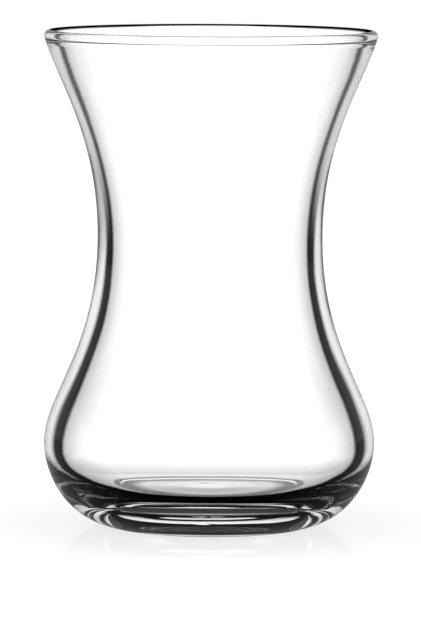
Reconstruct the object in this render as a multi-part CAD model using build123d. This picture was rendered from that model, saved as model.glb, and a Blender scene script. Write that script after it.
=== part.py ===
from build123d import *
import os
from math import cos, radians, sin, sqrt

# A tulip-waisted chai glass, one piece of clear pressed glass, standing on the origin with +Z up.
# Lengths are in millimetres and angles in degrees.

# Outside of the glass, from the table up
height = 83.2
foot_inset = 10.55
heel_angle = 13.0
heel_reach_share = 0.75
bulb_radius = 27.85
bulb_height = 13.8
bulb_bend = 10.8
waist_radius = 18.9
waist_height = 48.6
waist_bend = 61.6
rim_radius = 27.95
flare_angle = 16.0
flare_reach = 7.5

# Fire-polished lip, a bead a little thicker than the wall under it
lip_radius = 0.95
lip_turn = 30.0

# Inside of the glass, measured in from the outside
waist_wall = 2.02
bulb_wall = 2.5
bore_waist_drop = 2.1
bore_waist_bend = 56.0
bore_bulb_drop = 0.4
bore_bulb_bend = 8.4
throat_angle = 22.6
throat_reach = 11.6

# Bottom of the glass: a thick floor over a shallow recess, inside the ring that it stands on
ring_width = 0.8
recess_depth = 0.75
recess_reach = 0.5
floor_wall = 4.1
floor_inset = 12.45
floor_reach_share = 0.81

# At the upright end of a cubic curve, its handle squared is this share of the bend's radius
# times how far the other handle stands off to the side.
end_bend_share = 2 / 3

bore_waist_radius = waist_radius - waist_wall
bore_waist_height = waist_height - bore_waist_drop
bore_bulb_radius = bulb_radius - bulb_wall
bore_bulb_height = bulb_height - bore_bulb_drop
floor_height = recess_depth + floor_wall
floor_radius = bore_bulb_radius - floor_inset
floor_reach = floor_reach_share * floor_inset
foot_radius = bulb_radius - foot_inset
heel_reach = heel_reach_share * foot_inset
recess_radius = foot_radius - ring_width


def upright_handle(offset, bend):
    """Handle length that gives a curve this bend where it runs upright."""
    return sqrt(end_bend_share * bend * offset)


def step(point, angle, reach):
    """A point this far from another, at an angle from straight up towards the outside."""
    return (point[0] + reach * sin(radians(angle)), point[1] + reach * cos(radians(angle)))


def lip_point(angle):
    """A point on the lip's round, at an angle from straight out towards the top."""
    centre = (rim_radius - lip_radius, height - lip_radius)
    return (centre[0] + lip_radius * cos(radians(angle)), centre[1] + lip_radius * sin(radians(angle)))


def outer_curves():
    """The outside from the foot to the lip: heel and bulb, shoulder, then the flare above the waist."""
    foot = (foot_radius, 0)
    heel = (foot_radius + heel_reach * cos(radians(heel_angle)), heel_reach * sin(radians(heel_angle)))
    bulb = (bulb_radius, bulb_height)
    waist = (waist_radius, waist_height)
    lip = lip_point(-flare_angle)
    flare = step(lip, flare_angle, -flare_reach)
    bulb_down = upright_handle(bulb_radius - heel[0], bulb_bend)
    bulb_up = upright_handle(bulb_radius - waist_radius, bulb_bend)
    waist_down = upright_handle(bulb_radius - waist_radius, waist_bend)
    waist_up = upright_handle(flare[0] - waist_radius, waist_bend)
    return [
        Bezier(foot, heel, step(bulb, 0, -bulb_down), bulb),
        Bezier(bulb, step(bulb, 0, bulb_up), step(waist, 0, -waist_down), waist),
        Bezier(waist, step(waist, 0, waist_up), flare, lip),
    ]


def lip_curve():
    """The lip's round, from the flare outside over the top to the throat inside."""
    return ThreePointArc(lip_point(-flare_angle), lip_point(90), lip_point(180 + lip_turn))


def inner_curves():
    """The inside from the lip to the middle of the floor: throat, shoulder, bowl and flat floor."""
    lip = lip_point(180 + lip_turn)
    throat = step(lip, throat_angle, -throat_reach)
    waist = (bore_waist_radius, bore_waist_height)
    bulb = (bore_bulb_radius, bore_bulb_height)
    floor_edge = (floor_radius, floor_height)
    floor_middle = (0, floor_height)
    waist_up = upright_handle(throat[0] - bore_waist_radius, bore_waist_bend)
    waist_down = upright_handle(bore_bulb_radius - bore_waist_radius, bore_waist_bend)
    bulb_up = upright_handle(bore_bulb_radius - bore_waist_radius, bore_bulb_bend)
    bulb_down = upright_handle(bore_bulb_radius - floor_radius - floor_reach, bore_bulb_bend)
    return [
        Bezier(lip, throat, step(waist, 0, waist_up), waist),
        Bezier(waist, step(waist, 0, -waist_down), step(bulb, 0, bulb_up), bulb),
        Bezier(bulb, step(bulb, 0, -bulb_down), step(floor_edge, 90, floor_reach), floor_edge),
        Line(floor_edge, floor_middle),
    ]


def underside_curves():
    """The underside from the axis to the foot: the recess, then the flat ring that the glass stands on."""
    recess_middle = (0, recess_depth)
    ring_inside = (recess_radius, 0)
    recess_edge = (recess_radius - recess_reach, recess_depth)
    return [
        Line((0, floor_height), recess_middle),
        Bezier(recess_middle, recess_edge, ring_inside),
        Line(ring_inside, (foot_radius, 0)),
    ]


def tea_glass():
    """The whole glass, its half section turned round the upright axis."""
    section = make_face(Plane.XZ * Wire(outer_curves() + [lip_curve()] + inner_curves() + underside_curves()))
    return revolve(section, Axis.Z)


os.makedirs("parts", exist_ok=True)
glass = tea_glass()
export_step(glass, "parts/tea_glass.step")
box = glass.bounding_box()
print("size", box.size.X, box.size.Y, box.size.Z, "glass volume", glass.volume)
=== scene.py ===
import math

import bmesh
import bpy
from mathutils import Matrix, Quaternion, Vector, geometry, noise


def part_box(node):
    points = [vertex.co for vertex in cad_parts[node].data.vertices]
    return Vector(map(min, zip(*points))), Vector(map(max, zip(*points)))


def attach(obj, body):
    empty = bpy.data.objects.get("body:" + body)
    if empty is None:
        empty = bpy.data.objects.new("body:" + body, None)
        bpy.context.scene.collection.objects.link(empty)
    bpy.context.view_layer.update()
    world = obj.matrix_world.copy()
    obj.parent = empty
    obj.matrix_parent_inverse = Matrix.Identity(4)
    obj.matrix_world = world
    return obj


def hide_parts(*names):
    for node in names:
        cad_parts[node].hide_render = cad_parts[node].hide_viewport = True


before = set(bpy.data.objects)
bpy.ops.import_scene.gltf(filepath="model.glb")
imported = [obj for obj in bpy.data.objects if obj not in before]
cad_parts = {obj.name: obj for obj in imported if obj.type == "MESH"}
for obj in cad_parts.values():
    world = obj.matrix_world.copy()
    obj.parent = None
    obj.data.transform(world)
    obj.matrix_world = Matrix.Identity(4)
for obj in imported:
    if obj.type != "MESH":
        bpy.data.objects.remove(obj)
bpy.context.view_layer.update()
scene = bpy.context.scene

# Tea glass: one piece of clear pressed soda-lime glass with a fire-polished rim, standing free.
# It is turned from the seam of the CAD solid. The curve between the seam's points is filled in finely,
# because refraction shows every flat of a coarse mesh.
same_place = 1e-6
corner_angle = 0.2
outline_step = 0.00075
turn_steps = 240
cut = bmesh.new()
cut.from_mesh(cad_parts["tea_glass"].data)
bmesh.ops.remove_doubles(cut, verts=cut.verts, dist=same_place)
seam = [e for e in cut.edges if all(abs(v.co.y) < same_place and v.co.x > -same_place for v in e.verts)]
ends = [v for e in seam for v in e.verts if sum(v in f.verts for f in seam) == 1]
walk = [max(ends, key=lambda v: v.co.z)]
while seam and any(walk[-1] in e.verts for e in seam):
    link = next(e for e in seam if walk[-1] in e.verts)
    seam.remove(link)
    walk.append(link.other_vert(walk[-1]))
section = [Vector((0, 0, walk[0].co.z))] + [Vector((v.co.x, 0, v.co.z)) for v in walk]
cut.free()

# Each chord of the section becomes a curve that runs smoothly into the next, except at a real corner.
chords = [b - a for a, b in zip(section, section[1:])]
tangents = []
for i in range(len(section)):
    coming = chords[max(i - 1, 0)]
    going = chords[min(i, len(chords) - 1)]
    if coming.angle(going) > corner_angle:
        tangents.append((coming.normalized(), going.normalized()))
    else:
        mean = (coming.normalized() * going.length + going.normalized() * coming.length).normalized()
        tangents.append((mean, mean))
outline = []
for i, chord in enumerate(chords):
    handle = chord.length / 3
    leaving = section[i] + tangents[i][1] * handle
    arriving = section[i + 1] - tangents[i + 1][0] * handle
    count = max(1, math.ceil(chord.length / outline_step))
    outline += geometry.interpolate_bezier(section[i], leaving, arriving, section[i + 1], count + 1)[:-1]
outline.append(section[-1])

turned = bmesh.new()
points = [turned.verts.new(q) for q in outline]
edges = [turned.edges.new(pair) for pair in zip(points, points[1:])]
bmesh.ops.spin(turned, geom=points + edges, cent=(0, 0, 0), axis=(0, 0, 1),
               angle=2 * math.pi, steps=turn_steps, use_merge=True)
bmesh.ops.remove_doubles(turned, verts=turned.verts, dist=same_place)
bmesh.ops.recalc_face_normals(turned, faces=turned.faces)

# The flat floor inside has the shallow ripples that a plunger leaves: uneven bumps, and rings that wander.
# Pitches are per metre, and a layer is the height at which the noise is cut.
floor_level = section[0].z
ripple_height = 0.0001
ripple_reach = 0.0125
ripple_fade = 0.003
bump_pitch = 350
bump_layer = 7.3
ring_pitch = 1900
ring_share = 0.5
wander_pitch = 120
wander_layer = 2.1
wander_turn = 2
for v in turned.verts:
    if abs(v.co.z - floor_level) < same_place:
        from_axis = v.co.xy.length
        bumps = noise.noise((v.co.x * bump_pitch, v.co.y * bump_pitch, bump_layer))
        wander = wander_turn * noise.noise((v.co.x * wander_pitch, v.co.y * wander_pitch, wander_layer))
        rings = ring_share * math.sin(from_axis * ring_pitch + wander)
        fade = min(1, max(0, (ripple_reach - from_axis) / ripple_fade))
        v.co.z += ripple_height * (bumps + rings) * fade
for face in turned.faces:
    face.smooth = True
mesh = bpy.data.meshes.new("tea_glass_turned")
turned.to_mesh(mesh)
turned.free()
glass = bpy.data.objects.new("tea_glass_turned", mesh)
scene.collection.objects.link(glass)


def worked_out(tree, operation, *values):
    """A Math node on one or two values, each a number or the output of another node."""
    node = tree.nodes.new("ShaderNodeMath")
    node.operation = operation
    for socket, value in zip(node.inputs, values):
        if isinstance(value, bpy.types.NodeSocket):
            tree.links.new(value, socket)
        else:
            socket.default_value = value
    return node.outputs[0]


def faded(tree, value, start, end, low=0, high=1, curve="SMOOTHSTEP"):
    """A Map Range node: low where the value is at start, high where it is at end."""
    node = tree.nodes.new("ShaderNodeMapRange")
    node.interpolation_type = curve
    node.inputs["From Min"].default_value = start
    node.inputs["From Max"].default_value = end
    node.inputs["To Min"].default_value = low
    node.inputs["To Max"].default_value = high
    tree.links.new(value, node.inputs["Value"])
    return node.outputs[0]


def shaded_by(tree, value, shares):
    """A colour ramp of greys, given as pairs of a place on the value and its share of white."""
    node = tree.nodes.new("ShaderNodeValToRGB")
    tree.links.new(value, node.inputs["Fac"])
    marks = node.color_ramp.elements
    for mark, (place, share) in zip((marks[0], marks[1]), (shares[0], shares[-1])):
        mark.position = place
        mark.color = (share, share, share, 1)
    for place, share in shares[1:-1]:
        marks.new(place).color = (share, share, share, 1)
    return node.outputs["Color"]


# Clear glass with the faint waves and cast of pressed glass.
clear_ior = 1.52
gloss_tint = (0.08, 0.08, 0.08, 1)
wave_pitch = 55
wave_detail = 1
wave_depth = 0.00015
faint_cast = (0.985, 0.99, 0.988, 1)
clear = bpy.data.materials.new("clear_glass")
clear.use_nodes = True
tree = clear.node_tree
shader = tree.nodes["Principled BSDF"]
shader.inputs["Base Color"].default_value = (1, 1, 1, 1)
shader.inputs["Transmission Weight"].default_value = 1
shader.inputs["Roughness"].default_value = 0
shader.inputs["IOR"].default_value = clear_ior
shader.inputs["Specular Tint"].default_value = gloss_tint
place = tree.nodes.new("ShaderNodeTexCoord")
waves = tree.nodes.new("ShaderNodeTexNoise")
waves.inputs["Scale"].default_value = wave_pitch
waves.inputs["Detail"].default_value = wave_detail
tree.links.new(place.outputs["Object"], waves.inputs["Vector"])
uneven = tree.nodes.new("ShaderNodeBump")
uneven.inputs["Distance"].default_value = wave_depth
tree.links.new(waves.outputs["Fac"], uneven.inputs["Height"])
tree.links.new(uneven.outputs["Normal"], shader.inputs["Normal"])
cast = tree.nodes.new("ShaderNodeValToRGB")
cast.color_ramp.elements[0].color = faint_cast
tree.links.new(waves.outputs["Fac"], cast.inputs["Fac"])
tree.links.new(cast.outputs["Color"], shader.inputs["Base Color"])

# Painted shade lines: where light meets the inside of the wall near the critical angle, in a real studio it
# comes from far out to the sides, so here the glass is mixed with black there by its slant, as painted
# shade.
# Each pair below is a slant and its share of painted black: a broad line at waist and bulb, a thin one in
# the flare, and a wide one in the thick base.
wall_painted_shade_shares = ((0.12, 0), (0.185, 0.24), (0.223, 0.5), (0.233, 1),
                    (0.262, 1), (0.28, 0.22), (0.315, 0.1))
flare_painted_shade_shares = ((0.15, 0), (0.2, 0.2), (0.228, 0.42), (0.236, 0.92),
                     (0.245, 0.92), (0.255, 0.32), (0.315, 0.12))
base_painted_shade_shares = ((0.225, 0), (0.236, 1), (0.33, 1), (0.39, 0))
recess_clear = 0.002
base_full = 0.007
base_none = 0.015
flare_none = 0.047
flare_full = 0.07
even_blend = 0.5
slant = tree.nodes.new("ShaderNodeLayerWeight")
slant.inputs["Blend"].default_value = even_blend
tree.links.new(uneven.outputs["Normal"], slant.inputs["Normal"])
facing = slant.outputs["Facing"]
surface = tree.nodes.new("ShaderNodeNewGeometry")
sideways = tree.nodes.new("ShaderNodeVectorMath")
sideways.operation = "MULTIPLY"
sideways.inputs[1].default_value = (1, 1, 0)
tree.links.new(place.outputs["Object"], sideways.inputs[0])
outward = tree.nodes.new("ShaderNodeVectorMath")
outward.operation = "DOT_PRODUCT"
tree.links.new(surface.outputs["Normal"], outward.inputs[0])
tree.links.new(sideways.outputs["Vector"], outward.inputs[1])
faces_out = worked_out(tree, "GREATER_THAN", outward.outputs["Value"], 0)
parts = tree.nodes.new("ShaderNodeSeparateXYZ")
tree.links.new(place.outputs["Object"], parts.inputs[0])
level = parts.outputs["Z"]
inner_wall = worked_out(tree, "MULTIPLY", faces_out, surface.outputs["Backfacing"])
above_recess = worked_out(tree, "GREATER_THAN", level, recess_clear)
inside = worked_out(tree, "MULTIPLY", inner_wall, above_recess)
upper_painted_shade = tree.nodes.new("ShaderNodeMix")
tree.links.new(faded(tree, level, flare_none, flare_full), upper_painted_shade.inputs["Factor"])
tree.links.new(shaded_by(tree, facing, wall_painted_shade_shares), upper_painted_shade.inputs["A"])
tree.links.new(shaded_by(tree, facing, flare_painted_shade_shares), upper_painted_shade.inputs["B"])
in_base = faded(tree, level, base_none, base_full)
base_painted_shade = worked_out(tree, "MULTIPLY", shaded_by(tree, facing, base_painted_shade_shares), in_base)
any_painted_shade = worked_out(tree, "MAXIMUM", upper_painted_shade.outputs["Result"], base_painted_shade)
wall_painted_shade = worked_out(tree, "MULTIPLY", inside, any_painted_shade)

# The far side of the lip, seen across the mouth, gets painted shade along its top in the same way.
glass_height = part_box("tea_glass")[1][2]
lip_line_none = glass_height - 0.0006
lip_line_full = glass_height - 0.0003
lip_slant_none = 0.16
lip_slant_full = 0.32
not_across = worked_out(tree, "MAXIMUM", faces_out, surface.outputs["Backfacing"])
across = worked_out(tree, "SUBTRACT", 1, not_across)
lip_slant = faded(tree, facing, lip_slant_none, lip_slant_full)
lip_line = faded(tree, level, lip_line_none, lip_line_full, curve="LINEAR")
lip_painted_shade = worked_out(tree, "MULTIPLY", worked_out(tree, "MULTIPLY", across, lip_slant), lip_line)
painted_shade_share = worked_out(tree, "MAXIMUM", wall_painted_shade, lip_painted_shade)
# Painted shade: a black emission mixed over the glass by the shares above.
dark = tree.nodes.new("ShaderNodeEmission")
dark.inputs["Strength"].default_value = 0
edge = tree.nodes.new("ShaderNodeMixShader")
tree.links.new(painted_shade_share, edge.inputs["Fac"])
tree.links.new(shader.outputs[0], edge.inputs[1])
tree.links.new(dark.outputs[0], edge.inputs[2])
tree.links.new(edge.outputs[0], tree.nodes["Material Output"].inputs["Surface"])
mesh.materials.append(clear)
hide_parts("tea_glass")
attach(glass, "root")

# Floor: a pale table that keeps the soft shadow of the glass and reflects it faintly. It glows for the
# camera, so that its far edge doesn't show against the white. Seen through the glass it glows bright, with
# painted shadow under the foot and painted shade near it.
table_radius = 2.0
table_sides = 96
table_drop = 0.00005
disc = bmesh.new()
bmesh.ops.create_circle(disc, cap_ends=True, segments=table_sides, radius=table_radius)
mesh = bpy.data.meshes.new("floor")
disc.to_mesh(mesh)
disc.free()
floor = bpy.data.objects.new("floor", mesh)
floor.location.z = -table_drop
scene.collection.objects.link(floor)

# The table as the camera sees it: pale, with a reflection that fades out round the foot.
table_colour = (0.16, 0.16, 0.16, 1)
table_glow = 0.98
sheen_roughness = 0.05
sheen_share = 0.2
sheen_full = 0.028
sheen_none = 0.062
pale = bpy.data.materials.new("pale_table")
pale.use_nodes = True
tree = pale.node_tree
tree.nodes.clear()
rays = tree.nodes.new("ShaderNodeLightPath")
spot = tree.nodes.new("ShaderNodeTexCoord")
span = tree.nodes.new("ShaderNodeVectorMath")
span.operation = "LENGTH"
tree.links.new(spot.outputs["Object"], span.inputs[0])
from_middle = span.outputs["Value"]
diffuse = tree.nodes.new("ShaderNodeBsdfDiffuse")
diffuse.inputs["Color"].default_value = table_colour
glow = tree.nodes.new("ShaderNodeEmission")
glow_strength = worked_out(tree, "MULTIPLY", rays.outputs["Is Camera Ray"], table_glow)
tree.links.new(glow_strength, glow.inputs["Strength"])
bare_table = tree.nodes.new("ShaderNodeAddShader")
tree.links.new(diffuse.outputs[0], bare_table.inputs[0])
tree.links.new(glow.outputs[0], bare_table.inputs[1])
sheen = tree.nodes.new("ShaderNodeBsdfGlossy")
sheen.inputs["Roughness"].default_value = sheen_roughness
seen_table = tree.nodes.new("ShaderNodeMixShader")
sheen_left = faded(tree, from_middle, sheen_full, sheen_none, sheen_share, 0)
tree.links.new(sheen_left, seen_table.inputs["Fac"])
tree.links.new(bare_table.outputs[0], seen_table.inputs[1])
tree.links.new(sheen.outputs[0], seen_table.inputs[2])

# The table as light in the glass meets it: painted shadow under the foot, as shares of white, then painted
# shade near the foot that brightens with distance; it is dimmer in mirror images.
foot_shade_radius = 0.0174
foot_blur = 0.0003
foot_painted_shadow_shares = ((0, 1), (0.3, 0.62), (0.65, 0.8), (0.8, 0.06), (1, 0.04))
near_reach = 0.06
near_painted_shade_share = 0.6
table_white = 1.22
table_mirrored = 0.3
under_foot = faded(tree, from_middle, 0, foot_shade_radius, curve="LINEAR")
# Painted shadow under the foot: a glow darkened by radius, darkest just inside the foot's edge.
shaded = tree.nodes.new("ShaderNodeEmission")
tree.links.new(shaded_by(tree, under_foot, foot_painted_shadow_shares), shaded.inputs["Color"])
# Painted shade near the foot: the glow is darker close to it and brightens with distance.
lit = tree.nodes.new("ShaderNodeEmission")
lit_share = faded(tree, from_middle, foot_shade_radius, near_reach, near_painted_shade_share, 1, "LINEAR")
tree.links.new(lit_share, lit.inputs["Color"])
lit_strength = faded(tree, rays.outputs["Is Reflection Ray"], 0, 1, table_white, table_mirrored, "LINEAR")
tree.links.new(lit_strength, lit.inputs["Strength"])
near_table = tree.nodes.new("ShaderNodeMixShader")
past_foot = faded(tree, from_middle, foot_shade_radius - foot_blur, foot_shade_radius + foot_blur)
tree.links.new(past_foot, near_table.inputs["Fac"])
tree.links.new(shaded.outputs[0], near_table.inputs[1])
tree.links.new(lit.outputs[0], near_table.inputs[2])
in_glass = worked_out(tree, "MAXIMUM", rays.outputs["Is Transmission Ray"], rays.outputs["Is Glossy Ray"])
whole_table = tree.nodes.new("ShaderNodeMixShader")
tree.links.new(in_glass, whole_table.inputs["Fac"])
tree.links.new(seen_table.outputs[0], whole_table.inputs[1])
tree.links.new(near_table.outputs[0], whole_table.inputs[2])
table_end = tree.nodes.new("ShaderNodeOutputMaterial")
tree.links.new(whole_table.outputs[0], table_end.inputs["Surface"])
mesh.materials.append(pale)

# Camera: a little above the rim and tipped a little down, at the angle and distance of the photo.
# Its small turn and roll are the photo's own.
focal_length = 284.15
near_clip = 0.01
camera_place = (0, -0.8344, 0.11595)
tilt_down = math.radians(5.529)
turn_right = math.radians(0.0093)
roll = math.radians(0.289)
lens = bpy.data.cameras.new("camera")
lens.lens = focal_length
lens.clip_start = near_clip
camera = bpy.data.objects.new("camera", lens)
scene.collection.objects.link(camera)
aim = Vector((math.sin(turn_right), math.cos(tilt_down), -math.sin(tilt_down)))
camera.rotation_mode = "QUATERNION"
camera.rotation_quaternion = aim.to_track_quat("-Z", "Y") @ Quaternion((0, 0, 1), roll)
camera.location = camera_place
scene.camera = camera

# Light tent: a white band all round the glass and dark above it, so clear glass is lit from every side.
# It stays still, is far away, and only glass and gloss see it. Mirror images of it are dimmer.
tent_radius = 60
tent_segments = 64
tent_rings = 32
tent_white = 1.22
tent_dark = 0.004
tent_mirrored_share = 0.4
band_full = math.radians(13.5)
band_none = math.radians(19.5)
ball = bmesh.new()
bmesh.ops.create_uvsphere(ball, u_segments=tent_segments, v_segments=tent_rings, radius=tent_radius)
mesh = bpy.data.meshes.new("light_tent")
ball.to_mesh(mesh)
ball.free()
tent = bpy.data.objects.new("light_tent", mesh)
scene.collection.objects.link(tent)
tent.visible_camera = False
tent.visible_diffuse = False
tent.visible_shadow = False
tent.visible_volume_scatter = False
field = bpy.data.materials.new("light_field")
field.use_nodes = True
tree = field.node_tree
tree.nodes.clear()
rays = tree.nodes.new("ShaderNodeLightPath")
place = tree.nodes.new("ShaderNodeTexCoord")
direction = tree.nodes.new("ShaderNodeVectorMath")
direction.operation = "NORMALIZE"
tree.links.new(place.outputs["Object"], direction.inputs[0])
parts = tree.nodes.new("ShaderNodeSeparateXYZ")
tree.links.new(direction.outputs["Vector"], parts.inputs[0])
rise = worked_out(tree, "ARCSINE", parts.outputs["Z"])
in_band = faded(tree, rise, band_none, band_full)
brightness = faded(tree, in_band, 0, 1, tent_dark, tent_white, "LINEAR")
mirrored = faded(tree, rays.outputs["Is Reflection Ray"], 0, 1, 1, tent_mirrored_share, "LINEAR")
glow = tree.nodes.new("ShaderNodeEmission")
tree.links.new(worked_out(tree, "MULTIPLY", brightness, mirrored), glow.inputs["Strength"])
tent_end = tree.nodes.new("ShaderNodeOutputMaterial")
tree.links.new(glow.outputs[0], tent_end.inputs["Surface"])
mesh.materials.append(field)

# World: plain white, both as the background and as the soft light on the floor.
# Light bounces many times inside the thick base before it leaves, so it needs more bounces than usual.
glass_bounces = 24
world = bpy.data.worlds.new("world")
world.use_nodes = True
world.node_tree.nodes["Background"].inputs["Color"].default_value = (1, 1, 1, 1)
world.node_tree.nodes["Background"].inputs["Strength"].default_value = 1.0
scene.world = world
scene.view_settings.view_transform = "Standard"
scene.cycles.max_bounces = glass_bounces
scene.cycles.transmission_bounces = glass_bounces
scene.cycles.glossy_bounces = glass_bounces
